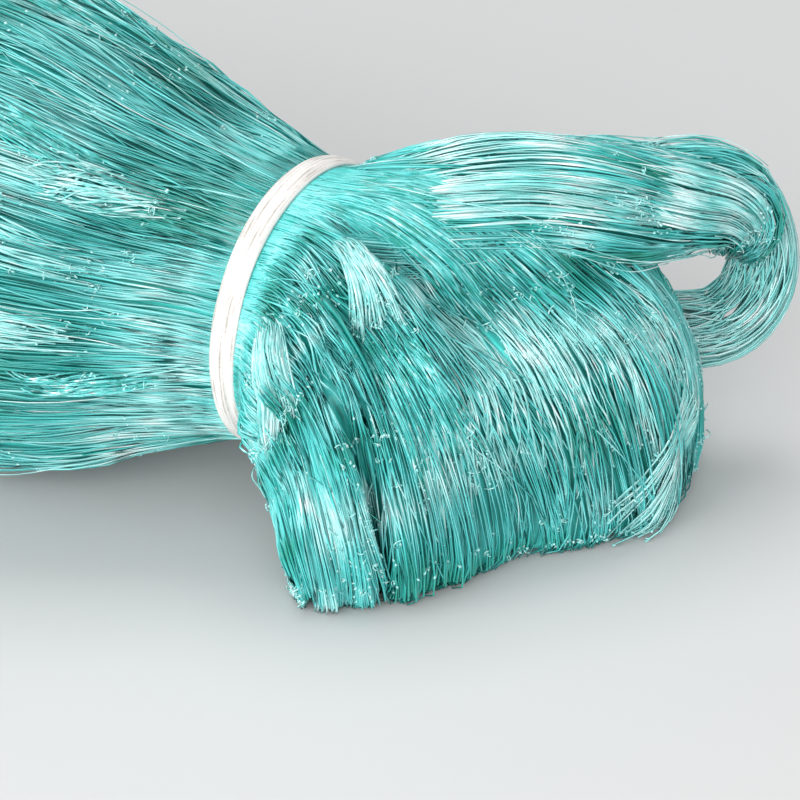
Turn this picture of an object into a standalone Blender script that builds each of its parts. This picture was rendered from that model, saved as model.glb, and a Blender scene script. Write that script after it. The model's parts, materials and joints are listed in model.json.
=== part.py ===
"""Fishing net: one hank of knotted nylon monofilament netting, gathered lengthwise and tied round
its neck with a flat tape.

Frame: metres, +Z up. The hank lies along X on the plane Z = 0. The origin is in the flat spot under
the thickest part of the body. The body's closed end is towards -X. The tape goes round the neck at
TIE_X, and past it the short tail splays out in pleats that fall to the plane towards +X and -Y.
"""
import math
from collections import namedtuple

import bmesh
import bpy
import numpy as np

# Driving sizes, in metres
TIE_X = 0.130
NECK_HEIGHT = 0.058
NECK_RADIUS = 0.0362
TIE_WIDTH = 0.0070
TIE_THICKNESS = 0.0013
TIE_GAP = 0.0003
TIE_EDGE = 0.0003
TIE_EASE = 0.0008

# Where a pleat leaves the neck past the tie, and how it runs. The run along +X before it turns, the
# shoulder's inset and the place of the shoulder along the pleat are shares of its plan length.
PLEAT_ROOT = 0.0045
ROOT_RUN = 0.38
SHOULDER_INSET = 0.12
SHOULDER_PLACE = 0.55

# The furrows start this far from the tie, are fully deep after the next distance, and fade out over
# this share of the body's length at its closed end.
FURROW_START = 0.007
FURROW_EASE = 0.020
FURROW_END = 0.10

# How finely the faceted solids are drawn
BODY_POINTS = 44
BODY_STEPS = 2
PLEAT_POINTS = 18
PLEAT_STEPS = 9
LOOP_POINTS = 10
LOOP_STEPS = 3
TIE_POINTS = 64
SECTION_POWER = 2.3

# The body, the neck and the tail's middle, from the closed end on. x is measured from the tie.
Station = namedtuple("Station", "x half_width half_height centre_y centre_z")
BODY = (
    Station(-0.2620, 0.0190, 0.0170, -0.004, 0.0480),
    Station(-0.2540, 0.0430, 0.0370, -0.005, 0.0510),
    Station(-0.2320, 0.0600, 0.0530, -0.006, 0.0560),
    Station(-0.1960, 0.0680, 0.0610, -0.007, 0.0595),
    Station(-0.1520, 0.0710, 0.0640, -0.008, 0.0620),
    Station(-0.1100, 0.0710, 0.0640, -0.008, 0.0620),
    Station(-0.0780, 0.0670, 0.0610, -0.007, 0.0605),
    Station(-0.0500, 0.0590, 0.0540, -0.005, 0.0590),
    Station(-0.0280, 0.0480, 0.0460, -0.002, 0.0580),
    Station(-0.0120, 0.0402, 0.0400, 0.000, 0.0580),
    Station(-0.0060, NECK_RADIUS + TIE_EASE, NECK_RADIUS + TIE_EASE, 0.000, NECK_HEIGHT),
    Station(-0.0045, NECK_RADIUS, NECK_RADIUS, 0.000, NECK_HEIGHT),
    Station(0.0045, NECK_RADIUS, NECK_RADIUS, 0.000, NECK_HEIGHT),
    Station(0.0080, 0.0375, 0.0375, 0.001, NECK_HEIGHT),
    Station(0.0220, 0.0415, 0.0405, 0.006, 0.0570),
    Station(0.0400, 0.0450, 0.0460, 0.014, 0.0450),
    Station(0.0580, 0.0390, 0.0360, 0.027, 0.0340),
    Station(0.0740, 0.0260, 0.0260, 0.038, 0.0260),
    Station(0.0820, 0.0130, 0.0150, 0.042, 0.0240),
)

# Lengthwise furrows between the gathered folds of the body. angle is in degrees round X from +Y
# towards +Z, depth is a share of the radius, spread is the half angle in degrees, and drift is how
# far the furrow has turned by the closed end.
Furrow = namedtuple("Furrow", "angle depth spread drift")
FURROWS = (
    Furrow(78.0, 0.10, 11.0, -16.0),
    Furrow(128.0, 0.06, 10.0, 14.0),
    Furrow(171.0, 0.08, 12.0, -10.0),
    Furrow(214.0, 0.07, 10.0, 12.0),
    Furrow(312.0, 0.08, 12.0, -14.0),
    Furrow(8.0, 0.09, 13.0, 12.0),
)

# The tail's pleats. foot_x and foot_y are the middle of the hem in plan, from the tie, and facing is
# the way the hem looks, in degrees from +X towards +Y. start_y and start_z are where the pleat leaves
# the neck, shoulder is the height of the bend where it starts to fall, and hem is the height of its
# lower end. Widths and depths are half sizes at the neck, the shoulder and the hem.
Pleat = namedtuple(
    "Pleat",
    "foot_x foot_y facing start_y start_z shoulder hem "
    "neck_width wide hem_width neck_depth thick hem_depth",
)
PLEATS = {
    "front_left": Pleat(0.0275, -0.033, -60, -0.013, -0.006, 0.060, -0.006,
                        0.011, 0.018, 0.016, 0.014, 0.016, 0.009),
    "front_middle": Pleat(0.045, -0.018, -58, -0.006, 0.004, 0.070, -0.006,
                          0.012, 0.018, 0.014, 0.016, 0.017, 0.010),
    "front_right": Pleat(0.063, 0.010, -50, 0.000, 0.008, 0.080, -0.006,
                         0.018, 0.026, 0.025, 0.016, 0.018, 0.011),
    "right": Pleat(0.080, 0.042, -34, 0.006, 0.010, 0.090, -0.004,
                   0.018, 0.029, 0.016, 0.016, 0.020, 0.010),
    "top": Pleat(0.078, 0.078, 40, 0.010, 0.014, 0.095, 0.054,
                 0.018, 0.028, 0.018, 0.016, 0.024, 0.013),
    "back_right": Pleat(0.062, 0.072, 40, 0.012, 0.006, 0.084, -0.006,
                        0.016, 0.024, 0.020, 0.016, 0.018, 0.011),
    "back": Pleat(0.042, 0.072, 64, 0.014, 0.002, 0.080, -0.006,
                  0.015, 0.022, 0.020, 0.015, 0.018, 0.011),
    "back_left": Pleat(0.023, 0.056, 74, 0.016, -0.006, 0.056, -0.006,
                       0.011, 0.015, 0.018, 0.013, 0.015, 0.010),
}

# The slack loop at the far end of the tail, with a small gap inside it. x is from the tie.
Bend = namedtuple("Bend", "x y z half_width half_depth")
LOOP = (
    Bend(0.062, 0.068, 0.072, 0.010, 0.0050),
    Bend(0.078, 0.079, 0.074, 0.010, 0.0050),
    Bend(0.089, 0.086, 0.062, 0.009, 0.0045),
    Bend(0.089, 0.085, 0.044, 0.009, 0.0045),
    Bend(0.079, 0.078, 0.032, 0.009, 0.0045),
    Bend(0.064, 0.068, 0.034, 0.009, 0.0045),
)

NET_COLOUR = "2E948B"
TIE_COLOUR = "EDEAE6"


def clear_scene():
    for item in list(bpy.data.objects):
        bpy.data.objects.remove(item, do_unlink=True)


def linear(hex_colour):
    """sRGB hex digits as linear red, green, blue and alpha."""
    parts = [int(hex_colour[i:i + 2], 16) / 255 for i in (0, 2, 4)]
    return [c / 12.92 if c <= 0.04045 else ((c + 0.055) / 1.055) ** 2.4 for c in parts] + [1.0]


def finish(name, hex_colour, roughness):
    material = bpy.data.materials.new(name)
    material.use_nodes = True
    shader = material.node_tree.nodes["Principled BSDF"]
    shader.inputs["Base Color"].default_value = linear(hex_colour)
    shader.inputs["Roughness"].default_value = roughness
    shader.inputs["Metallic"].default_value = 0.0
    return material


def through(rows, steps):
    """Rows on a smooth Catmull-Rom curve through the given rows, steps to each span."""
    rows = np.array(rows, float)
    padded = np.vstack([2 * rows[0] - rows[1], rows, 2 * rows[-1] - rows[-2]])
    t = np.linspace(0, 1, steps, endpoint=False)[:, None]
    spans = []
    for before, start, end, after in zip(padded, padded[1:], padded[2:], padded[3:]):
        spans.append(0.5 * (2 * start + (end - before) * t
                            + (2 * before - 5 * start + 4 * end - after) * t ** 2
                            + (3 * start - before - 3 * end + after) * t ** 3))
    return np.vstack(spans + [rows[-1:]])


def smooth_step(t):
    return t * t * (3 - 2 * t)


def oval(count):
    """Unit superellipse points, anticlockwise from +width."""
    turn = np.linspace(0, 2 * math.pi, count, endpoint=False)
    power = 2 / SECTION_POWER
    across, up = np.cos(turn), np.sin(turn)
    return np.sign(across) * np.abs(across) ** power, np.sign(up) * np.abs(up) ** power


def loft(name, rings):
    """A closed object through rings of points, with its first and last ring filled."""
    mesh = bmesh.new()
    rows = [[mesh.verts.new(point) for point in ring] for ring in rings]
    for near, far in zip(rows, rows[1:]):
        for i, start in enumerate(near):
            j = (i + 1) % len(near)
            mesh.faces.new((start, near[j], far[j], far[i]))
    mesh.faces.new(rows[0][::-1])
    mesh.faces.new(rows[-1])
    bmesh.ops.recalc_face_normals(mesh, faces=mesh.faces)
    data = bpy.data.meshes.new(name)
    mesh.to_mesh(data)
    mesh.free()
    data.shade_smooth()
    item = bpy.data.objects.new(name, data)
    bpy.context.collection.objects.link(item)
    return item


def body_rings():
    """The gathered body: upright ovals along X, each furrow a smooth dent that fades at the neck."""
    turn = np.linspace(0, 2 * math.pi, BODY_POINTS, endpoint=False)
    rings = []
    for x, half_width, half_height, centre_y, centre_z in through(BODY, BODY_STEPS):
        along = np.clip(x / BODY[0].x, 0, 1)
        fade = np.clip((-x - FURROW_START) / FURROW_EASE, 0, 1) * np.clip((1 - along) / FURROW_END, 0, 1)
        dent = np.zeros(BODY_POINTS)
        for furrow in FURROWS:
            middle = math.radians(furrow.angle + furrow.drift * along)
            off = np.degrees(np.angle(np.exp(1j * (turn - middle))))
            dent += furrow.depth * np.exp(-(off / furrow.spread) ** 2)
        size = 1 - smooth_step(fade) * dent
        rings.append(np.column_stack([
            np.full(BODY_POINTS, TIE_X + x),
            centre_y + half_width * size * np.cos(turn),
            centre_z + half_height * size * np.sin(turn),
        ]))
    return rings


def swept_rings(spine, headings, half_widths, half_depths, count):
    """Ovals across a spine: the width lies level and square to the heading, the depth square to it
    and to the spine."""
    tangents = np.gradient(spine, axis=0)
    tangents /= np.linalg.norm(tangents, axis=1)[:, None]
    level = np.column_stack([-np.sin(headings), np.cos(headings), np.zeros(len(headings))])
    outward = np.cross(tangents, level)
    outward /= np.linalg.norm(outward, axis=1)[:, None]
    across, up = oval(count)
    return [
        point + np.outer(across * w, side) + np.outer(up * d, out)
        for point, side, out, w, d in zip(spine, level, outward, half_widths, half_depths)
    ]


def pleat_rings(pleat):
    """A pleat: a cubic Bezier curve that leaves the neck along +X, turns to its heading and falls."""
    t = np.linspace(0, 1, PLEAT_STEPS)
    facing = math.radians(pleat.facing)
    root = np.array([TIE_X + PLEAT_ROOT, pleat.start_y, NECK_HEIGHT + pleat.start_z])
    foot = np.array([TIE_X + pleat.foot_x, pleat.foot_y, 0.0])
    inset = SHOULDER_INSET * (root - foot) * (1, 1, 0)
    controls = (
        root,
        root + (ROOT_RUN * math.hypot(pleat.foot_x, pleat.foot_y), 0.0, 0.0),
        foot + inset + (0.0, 0.0, pleat.shoulder),
        foot + (0.0, 0.0, pleat.hem),
    )
    weights = ((1 - t) ** 3, 3 * t * (1 - t) ** 2, 3 * t ** 2 * (1 - t), t ** 3)
    spine = sum(np.outer(weight, point) for weight, point in zip(weights, controls))
    marks = (0.0, SHOULDER_PLACE, 1.0)
    widths = np.interp(smooth_step(t), marks, (pleat.neck_width, pleat.wide, pleat.hem_width))
    depths = np.interp(smooth_step(t), marks, (pleat.neck_depth, pleat.thick, pleat.hem_depth))
    return swept_rings(spine, facing * smooth_step(t), widths, depths, PLEAT_POINTS)


def loop_rings():
    """The slack loop: ovals through its bends, with their width square to the loop's own plane."""
    rows = through(LOOP, LOOP_STEPS)
    spine = rows[:, :3] + np.array([TIE_X, 0.0, 0.0])
    heading = math.atan2(LOOP[2].y - LOOP[0].y, LOOP[2].x - LOOP[0].x)
    return swept_rings(spine, np.full(len(rows), heading), rows[:, 3], rows[:, 4], LOOP_POINTS)


def cutter(item):
    item.hide_render = True
    item.display_type = "WIRE"
    return item


def combine(target, item, operation):
    boolean = target.modifiers.new(item.name, "BOOLEAN")
    boolean.operation = operation
    boolean.solver = "EXACT"
    boolean.use_self = True
    boolean.object = item


def floor_block():
    """A block under Z = 0, which gives the net its flat underside."""
    mesh = bmesh.new()
    bmesh.ops.create_cube(mesh, size=1.0)
    bmesh.ops.translate(mesh, verts=mesh.verts, vec=(0, 0, -0.5))
    data = bpy.data.meshes.new("floor_block")
    mesh.to_mesh(data)
    mesh.free()
    item = bpy.data.objects.new("floor_block", data)
    bpy.context.collection.objects.link(item)
    return item


def make_net():
    """The whole net as one solid: the body, its neck, the tail's pleats and the slack loop."""
    net = loft("net", body_rings())
    for name, pleat in PLEATS.items():
        combine(net, cutter(loft("pleat_" + name, pleat_rings(pleat))), "UNION")
    combine(net, cutter(loft("slack_loop", loop_rings())), "UNION")
    combine(net, cutter(floor_block()), "DIFFERENCE")
    net.data.materials.append(finish("net_monofilament", NET_COLOUR, 0.35))
    return net


def make_tie():
    """The flat tape: a rectangular section with eased corners, turned once round the neck."""
    inner = NECK_RADIUS + TIE_GAP
    outer = inner + TIE_THICKNESS
    half = TIE_WIDTH / 2
    outline = (
        (-half, inner),
        (half, inner),
        (half, outer - TIE_EDGE),
        (half - TIE_EDGE, outer),
        (-half + TIE_EDGE, outer),
        (-half, outer - TIE_EDGE),
    )
    mesh = bmesh.new()
    rings = []
    for turn in np.linspace(0, 2 * math.pi, TIE_POINTS, endpoint=False):
        rings.append([
            mesh.verts.new((TIE_X + x, r * math.cos(turn), NECK_HEIGHT + r * math.sin(turn)))
            for x, r in outline
        ])
    for near, far in zip(rings, rings[1:] + rings[:1]):
        for i, start in enumerate(near):
            j = (i + 1) % len(near)
            mesh.faces.new((start, near[j], far[j], far[i]))
    bmesh.ops.recalc_face_normals(mesh, faces=mesh.faces)
    data = bpy.data.meshes.new("tie")
    mesh.to_mesh(data)
    mesh.free()
    data.shade_smooth()
    data.set_sharp_from_angle(angle=math.radians(40))
    tie = bpy.data.objects.new("tie", data)
    bpy.context.collection.objects.link(tie)
    data.materials.append(finish("tie_tape", TIE_COLOUR, 0.75))
    return tie


clear_scene()
make_net()
make_tie()
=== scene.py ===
# %% [markdown]
# # A tied hank of fishing net
# The object is nylon monofilament netting, knotted by machine, gathered lengthwise into a hank and
# tied round its neck with a flat tape. The tail past the tape splays out and folds down to the floor.
# What the eye reads is thousands of fine, glossy, parallel filaments, with darker gaps between the
# gathers and rows of tiny knots. So this lesson builds a dark inner form first, and then lays real
# filaments over it, each one a slim tube that follows the gathers.

# %% Load the frame
import json
import math
from collections import namedtuple

import bpy
import numpy as np
from mathutils import Matrix, Vector

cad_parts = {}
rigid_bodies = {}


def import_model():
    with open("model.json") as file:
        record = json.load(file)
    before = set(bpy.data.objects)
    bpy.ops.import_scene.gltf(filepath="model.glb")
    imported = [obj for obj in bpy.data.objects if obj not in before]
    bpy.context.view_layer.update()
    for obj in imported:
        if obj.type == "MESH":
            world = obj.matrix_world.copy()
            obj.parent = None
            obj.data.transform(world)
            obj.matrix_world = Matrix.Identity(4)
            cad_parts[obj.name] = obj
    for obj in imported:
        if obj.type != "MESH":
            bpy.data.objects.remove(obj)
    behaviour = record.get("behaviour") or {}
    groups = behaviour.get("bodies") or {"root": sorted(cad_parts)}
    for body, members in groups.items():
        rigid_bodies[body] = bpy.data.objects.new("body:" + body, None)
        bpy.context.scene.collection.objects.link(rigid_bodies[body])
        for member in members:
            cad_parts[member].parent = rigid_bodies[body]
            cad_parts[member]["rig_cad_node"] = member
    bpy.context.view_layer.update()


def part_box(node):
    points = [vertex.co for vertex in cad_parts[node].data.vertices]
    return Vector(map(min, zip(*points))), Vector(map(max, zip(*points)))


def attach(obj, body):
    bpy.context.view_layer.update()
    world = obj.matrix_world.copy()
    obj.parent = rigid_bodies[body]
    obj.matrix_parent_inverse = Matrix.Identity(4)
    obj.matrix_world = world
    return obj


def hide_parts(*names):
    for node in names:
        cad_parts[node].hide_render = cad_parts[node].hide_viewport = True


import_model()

net_low, net_high = (np.array(corner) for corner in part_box("net"))
tie_low, tie_high = (np.array(corner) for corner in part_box("tie"))
print("net", net_low, net_high)

# %% [markdown]
# ## Where things are
# The middle of the tape's ring is the middle of the neck. Its box gives that point, the neck's radius
# and the tape's width. Lengths in the tables below are in metres, with x and y from that point and
# heights from the floor. The net's own box is printed, so that the tables' reach can be checked.

# %% The neck and the tape
TIE_X, TIE_Y, NECK_Z = (tie_low + tie_high) / 2
TIE_OUTER = (tie_high[2] - tie_low[2]) / 2
TIE_WIDTH = tie_high[0] - tie_low[0]
TIE_THICKNESS = 0.0013
NECK_RADIUS = TIE_OUTER - TIE_THICKNESS - 0.0003
BODY_END = net_low[0] - TIE_X
MM = 0.001
print("neck radius mm", NECK_RADIUS / MM, "body end mm", BODY_END / MM)


# %% [markdown]
# ## Camera, light and floor
# The view is from the tail's side, about a third of the way up, through a long lens, which keeps the
# hank's proportions. A soft panel above and behind puts long highlights on the filaments. Three wide
# panels in front and a bright pale room keep the shadows light.

# %% Camera
AZIMUTH = math.radians(31.0)
ELEVATION = math.radians(33.4)
DISTANCE = 0.70
LENS = 126.0
NECK_LEFT_OF_MIDDLE = 0.0240
NECK_ABOVE_MIDDLE = 0.0241

right = np.array([math.cos(AZIMUTH), math.sin(AZIMUTH), 0.0])
back = np.array([math.sin(AZIMUTH) * math.cos(ELEVATION),
                 -math.cos(AZIMUTH) * math.cos(ELEVATION),
                 math.sin(ELEVATION)])
up = np.cross(back, right)
eye = (np.array([TIE_X, TIE_Y, NECK_Z]) + DISTANCE * back
       + NECK_LEFT_OF_MIDDLE * right - NECK_ABOVE_MIDDLE * up)

camera_data = bpy.data.cameras.new("camera")
camera_data.lens = LENS
camera_data.sensor_width = 36.0
camera_data.clip_start = 0.01
camera_data.dof.use_dof = False
camera = bpy.data.objects.new("camera", camera_data)
bpy.context.collection.objects.link(camera)
matrix = np.eye(4)
matrix[:3, :3] = np.column_stack([right, up, back])
matrix[:3, 3] = eye
camera.matrix_world = Matrix(matrix.tolist())
bpy.context.scene.camera = camera

# %% Light and floor
ROOM_GREY = 0.58
FLOOR_HEX = "D4D4D4"
TABLE_SIZE = 6.0


def linear(hex_colour):
    """sRGB hex digits as linear red, green, blue and an alpha of one."""
    channels = np.array([int(hex_colour[i:i + 2], 16) / 255 for i in (0, 2, 4)])
    low, high = channels / 12.92, ((channels + 0.055) / 1.055) ** 2.4
    return tuple(np.where(channels <= 0.04045, low, high)) + (1.0,)


def panel(name, place, aim, size, watts):
    """A square white area light at place, turned to face aim."""
    data = bpy.data.lights.new(name, "AREA")
    data.size = size
    data.energy = watts
    light = bpy.data.objects.new(name, data)
    bpy.context.collection.objects.link(light)
    light.location = place
    light.rotation_euler = (Vector(aim) - Vector(place)).to_track_quat("-Z", "Y").to_euler()


world = bpy.data.worlds.new("room")
world.use_nodes = True
world.node_tree.nodes["Background"].inputs["Color"].default_value = linear("F8F9FA")
world.node_tree.nodes["Background"].inputs["Strength"].default_value = ROOM_GREY
bpy.context.scene.world = world
bpy.context.scene.view_settings.view_transform = "Standard"

middle = (TIE_X, TIE_Y, NECK_Z)
for name, place, size, watts in (("panel_above", (TIE_X - 0.25, 0.25, 1.20), 0.60, 5.0),
                                 ("panel_front", (TIE_X + 0.70, -0.95, 0.80), 0.90, 6.0),
                                 ("panel_left", (TIE_X - 0.60, -1.05, 0.60), 1.10, 6.5),
                                 ("panel_near", (TIE_X + 0.05, -1.30, 0.50), 0.90, 7.5)):
    panel(name, place, middle, size, watts)

bpy.ops.mesh.primitive_plane_add(size=TABLE_SIZE, location=(0, 0, 0))
table = bpy.context.object
table.name = "table_top"
table_finish = bpy.data.materials.new("pale_paper")
table_finish.use_nodes = True
paper = table_finish.node_tree.nodes["Principled BSDF"]
paper.inputs["Base Color"].default_value = linear(FLOOR_HEX)
paper.inputs["Roughness"].default_value = 0.8
paper.inputs["Specular IOR Level"].default_value = 0.2
table.data.materials.append(table_finish)


# %% [markdown]
# ## The finishes
# Nylon monofilament is extruded through a die, so it is smooth and glassy, and dye in the melt makes
# it sea green right through. One filament reads as a pale line where it catches the light. A tight
# gather of thousands reads as soft bands of teal, green and blue, with pale and near-white bands
# painted in as highlights. The tape is soft woven cotton, off white, with fine ribs along it. Each
# pattern reads the piece's own UV map: across is the filament's number, along is the way down it.

# %% Nodes and the filament's finish
NYLON_IOR = 1.53
COTTON_IOR = 1.47


def node(tree, kind, inputs=(), stops=(), **settings):
    """Adds one node: settings are its own choices, inputs are values or sockets to link, and stops
    are the places and hex colours of a colour ramp."""
    made = tree.nodes.new("ShaderNode" + kind)
    for name, value in settings.items():
        setattr(made, name, value)
    for name, value in dict(inputs).items():
        if isinstance(value, bpy.types.NodeSocket):
            tree.links.new(value, made.inputs[name])
        else:
            made.inputs[name].default_value = value
    for number, (place, hex_colour) in enumerate(stops):
        ramp = made.color_ramp.elements
        stop = ramp[number] if number < 2 else ramp.new(place)
        stop.position = place
        stop.color = linear(hex_colour)
    return made


def new_finish(name):
    """An empty material with its output: returns the material and its tree."""
    material = bpy.data.materials.new(name)
    material.use_nodes = True
    tree = material.node_tree
    tree.nodes.clear()
    return material, tree


def close_finish(tree, **shader_inputs):
    """Adds the Principled shader with the given sockets, underscores for spaces, and the output."""
    named = {name.replace("_", " "): value for name, value in shader_inputs.items()}
    shader = node(tree, "BsdfPrincipled", named)
    node(tree, "OutputMaterial", {"Surface": shader.outputs["BSDF"]})


def gather_colour(tree, across, along, stops, fine_across, fine_along, fine_share):
    """Broad noise along the gathers picks a colour from stops, and fine noise from one filament to
    the next lightens or darkens it. Returns the colour and the fine noise."""
    uv = node(tree, "UVMap", uv_map="OFBake")
    wide = node(tree, "Mapping", {"Vector": uv.outputs["UV"], "Scale": (across, along, 1)})
    tint = node(tree, "TexNoise", {"Vector": wide.outputs["Vector"], "Scale": 1.0, "Detail": 3.0})
    ramp = node(tree, "ValToRGB", {"Fac": tint.outputs["Fac"]}, stops)
    narrow = node(tree, "Mapping", {"Vector": uv.outputs["UV"],
                                    "Scale": (fine_across, fine_along, 1)})
    grain = node(tree, "TexNoise", {"Vector": narrow.outputs["Vector"], "Scale": 1.0, "Detail": 1.0})
    span = node(tree, "MapRange", {"Value": grain.outputs["Fac"], "From Min": 0.3, "From Max": 0.7,
                                   "To Min": 1.0 - fine_share, "To Max": 1.0 + fine_share})
    scaled = node(tree, "VectorMath", {0: ramp.outputs["Color"], "Scale": span.outputs["Result"]},
                  operation="SCALE")
    return scaled.outputs["Vector"], grain.outputs["Fac"]


def coated_nylon(name, stops, broad, fine, roughness, coat):
    """Dyed nylon under its own clear skin: broad and fine are gather_colour's numbers."""
    material, tree = new_finish(name)
    colour, _ = gather_colour(tree, *broad, stops, *fine)
    close_finish(tree, Base_Color=colour, Roughness=roughness, IOR=NYLON_IOR, Coat_Weight=coat,
                 Coat_Roughness=0.12, Coat_IOR=NYLON_IOR)
    return material


# Broad noise picks these tints. The pale and near-white stops are painted highlights, and the others
# are the dye's uneven tone.
NYLON_TINTS_AND_PAINTED_HIGHLIGHTS = ((0.28, "26A38E"), (0.72, "F4FFFF"), (0.39, "2FB4AA"), (0.47, "4FCBC8"),
               (0.55, "74DEDC"), (0.63, "A6F0EE"))
filament_nylon_painted_highlights = coated_nylon("dyed_nylon_monofilament_painted_highlights", NYLON_TINTS_AND_PAINTED_HIGHLIGHTS, (12.0, 7.0),
                              (900.0, 14.0, 0.22), 0.26, 0.6)

# %% [markdown]
# In the body the filaments are drawn tight and lie deep, and the same dye is painted darker and
# greener as shade, between wide pale bands that are painted highlights.

# %% The finish of the body's filaments, painted darker as shade, with painted highlights
PACKED_TINTS_PAINTED_SHADE_AND_HIGHLIGHTS = ((0.30, "1E9684"), (0.72, "EEFCFB"), (0.41, "28A49C"), (0.49, "40BAB6"),
                (0.57, "66D0CE"), (0.64, "9CE6E4"))
packed_nylon_painted_shade_and_highlights = coated_nylon("body_nylon_monofilament_painted_shade_and_highlights", PACKED_TINTS_PAINTED_SHADE_AND_HIGHLIGHTS, (9.0, 6.0),
                            (620.0, 14.0, 0.22), 0.26, 0.6)

# %% [markdown]
# Where only a few filaments lie over a pale room, as in the slack loop, the knots' tails and the
# strays, light comes through them, and the same dye is painted paler for that light, with near-white
# painted highlights.

# %% The finish of loose filaments, painted paler for the light through them
LOOSE_TINTS_PAINTED_LIGHT = ((0.30, "6FD6D2"), (0.70, "F4FFFF"), (0.44, "93E6E3"), (0.56, "BAF3F1"))
loose_nylon_painted_light = coated_nylon("thin_nylon_monofilament_painted_light", LOOSE_TINTS_PAINTED_LIGHT, (14.0, 5.0),
                           (300.0, 6.0, 0.25), 0.20, 1.0)

# %% [markdown]
# Under the filaments the eye sees more filaments, in shade. That inner layer is one surface, painted
# a deeper green as shade, with streaks a filament wide as colour and as bump.

# %% The shaded netting under the top filaments
SHADE_TINTS = ((0.30, "1C9E92"), (0.70, "58CFCB"), (0.44, "2BB0A7"), (0.56, "3EBEB8"))
inner_nylon, tree = new_finish("gathered_netting_in_shade")
colour, grain = gather_colour(tree, 30.0, 6.0, SHADE_TINTS, 620.0, 9.0, 0.55)
relief = node(tree, "Bump", {"Height": grain, "Strength": 0.6, "Distance": 0.0006})
close_finish(tree, Base_Color=colour, Roughness=0.42, IOR=NYLON_IOR,
             Normal=relief.outputs["Normal"])

# %% [markdown]
# The tape's ribs are the warp threads, about eight to its width, which is coarser than a real weave
# so that they show. Its off-white is painted a little grey in the grooves and folds, as shade.

# %% The tape's finish
TAPE_RIBS = 5.0
tape_cotton, tree = new_finish("woven_cotton_tape")
uv = node(tree, "UVMap", uv_map="OFBake")
ribs = node(tree, "TexWave", {"Vector": uv.outputs["UV"], "Scale": TAPE_RIBS, "Distortion": 1.2,
                              "Detail": 1.0, "Detail Scale": 6.0}, bands_direction="Y")
threads = node(tree, "Mapping", {"Vector": uv.outputs["UV"], "Scale": (300.0, 16.0, 1)})
picks = node(tree, "TexNoise", {"Vector": threads.outputs["Vector"], "Scale": 1.0, "Detail": 2.0})
folds = node(tree, "Mapping", {"Vector": uv.outputs["UV"], "Scale": (22.0, 9.0, 1)})
rumple = node(tree, "TexNoise", {"Vector": folds.outputs["Vector"], "Scale": 1.0, "Detail": 3.0})
thread = node(tree, "Mix", {"Factor": 0.55, "A": ribs.outputs["Fac"], "B": picks.outputs["Fac"]})
height = node(tree, "Mix", {"Factor": 0.65, "A": thread.outputs["Result"],
                            "B": rumple.outputs["Fac"]})
# Low places in the ribs and folds are painted greyer and tan as shade.
cloth_painted_groove_shade = node(tree, "ValToRGB", {"Fac": height.outputs["Result"]},
             ((0.28, "A69C92"), (0.62, "F0EDEA"), (0.38, "C9C3BC"), (0.45, "E2DEDA")))
weave = node(tree, "Bump", {"Height": height.outputs["Result"], "Strength": 0.7, "Distance": 0.0005})
close_finish(tree, Base_Color=cloth_painted_groove_shade.outputs["Color"], Roughness=0.62, IOR=COTTON_IOR,
             Normal=weave.outputs["Normal"])
print("finishes", [m.name for m in bpy.data.materials])


# %% [markdown]
# ## Making meshes from arrays
# Two shapes make the whole net. A skin is a grid of points, closed round in one direction and filled
# at both ends. A bundle is many slim three-sided tubes, each carried along its own path. Both are
# worked out as whole arrays and handed to Blender at once.

# %% Grids and tubes
def smooth_step(t):
    """0 to 1 with level ends: 3t^2 - 2t^3."""
    t = np.clip(t, 0, 1)
    return t * t * (3 - 2 * t)


def unit(vectors):
    """Vectors of length one."""
    return vectors / np.maximum(np.linalg.norm(vectors, axis=-1, keepdims=True), 1e-12)


def put_mesh(name, points, quads, triangles, uvs, finish):
    """A smooth mesh object from arrays of points, four- and three-sided faces, and a UV per point."""
    mesh = bpy.data.meshes.new(name)
    corners = np.concatenate([quads.ravel(), triangles.ravel()]).astype(np.int32)
    starts = np.concatenate([np.arange(len(quads)) * 4,
                             4 * len(quads) + np.arange(len(triangles)) * 3])
    mesh.vertices.add(len(points))
    mesh.vertices.foreach_set("co", np.asarray(points, np.float32).ravel())
    mesh.loops.add(len(corners))
    mesh.loops.foreach_set("vertex_index", corners)
    mesh.polygons.add(len(starts))
    mesh.polygons.foreach_set("loop_start", starts.astype(np.int32))
    mesh.update(calc_edges=True)
    layer = mesh.uv_layers.new(name="OFBake")
    layer.data.foreach_set("uv", np.asarray(uvs, np.float32)[corners].ravel())
    mesh.shade_smooth()
    mesh.materials.append(finish)
    item = bpy.data.objects.new(name, mesh)
    bpy.context.collection.objects.link(item)
    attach(item, "root")
    print(f"{name}: {2 * len(quads) + len(triangles)} triangles")
    return item


def skin(name, grid, finish):
    """A closed skin: grid[j, i] goes round with i and along with j, and a fan fills each end. The
    last column joins back to the first."""
    rows, columns = grid.shape[:2]
    number = np.arange(rows * columns).reshape(rows, columns)
    first = np.stack([number[:-1, :], np.roll(number[:-1, :], -1, 1),
                      np.roll(number[1:, :], -1, 1), number[1:, :]], -1).reshape(-1, 4)
    ends = grid[[0, -1]].mean(axis=1)
    points = np.vstack([grid.reshape(-1, 3), ends])
    around = np.arange(columns)
    fan_start = np.stack([np.full(columns, rows * columns), np.roll(around, -1), around], -1)
    base = (rows - 1) * columns
    fan_end = np.stack([np.full(columns, rows * columns + 1), base + around,
                        base + np.roll(around, -1)], -1)
    across, along = np.meshgrid((around + 0.5) / columns, np.linspace(0.02, 0.98, rows))
    uvs = np.vstack([np.stack([across, along], -1).reshape(-1, 2), [(0.5, 0.0), (0.5, 1.0)]])
    return put_mesh(name, points, first, np.vstack([fan_start, fan_end]), uvs, finish)


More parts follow.
